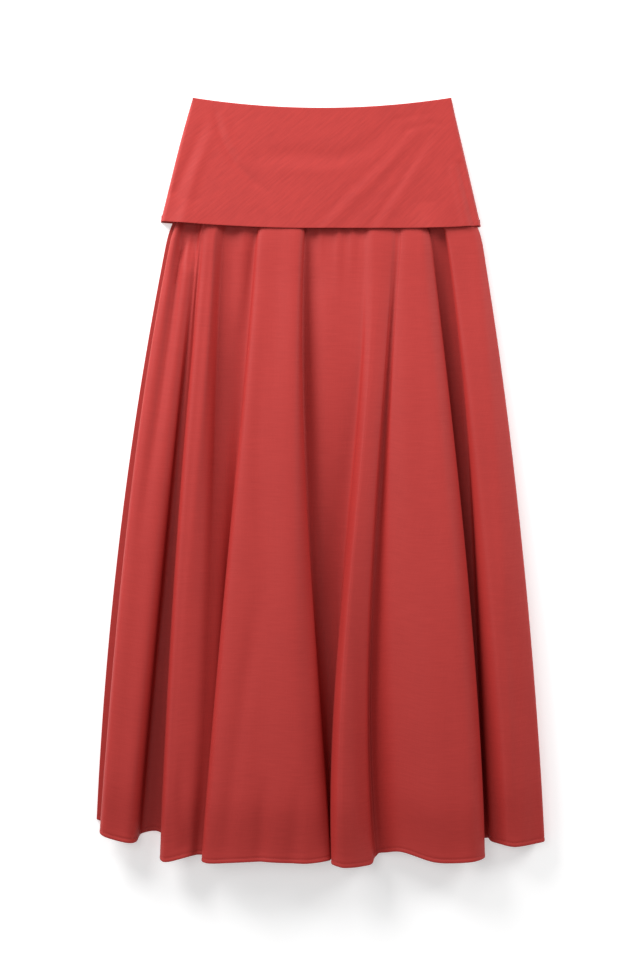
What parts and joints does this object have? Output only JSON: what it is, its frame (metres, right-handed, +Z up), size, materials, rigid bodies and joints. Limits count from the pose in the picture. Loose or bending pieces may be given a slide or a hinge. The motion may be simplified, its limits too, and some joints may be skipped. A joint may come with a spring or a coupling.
{
  "type": "maxi skirt",
  "caption": "Long gathered skirt with a flared, softly folded body and a fold-over waist panel, laid flat with its front up.",
  "frame": {"origin": "middle of the bounding box of the laid skirt, on the surface it lies on", "axes": "+Z up from the surface, out of the front; +Y from the hem towards the waist; +X to the right of the front as seen from above"},
  "size_m": [0.58, 0.9908, 0.0598],
  "materials": {
    "poplin": "matte red woven cotton poplin"
  },
  "bodies": {
    "root": {"waist_front": "poplin", "waist_back": "poplin", "skirt_front": "poplin", "skirt_back": "poplin"}
  },
  "joints": []
}
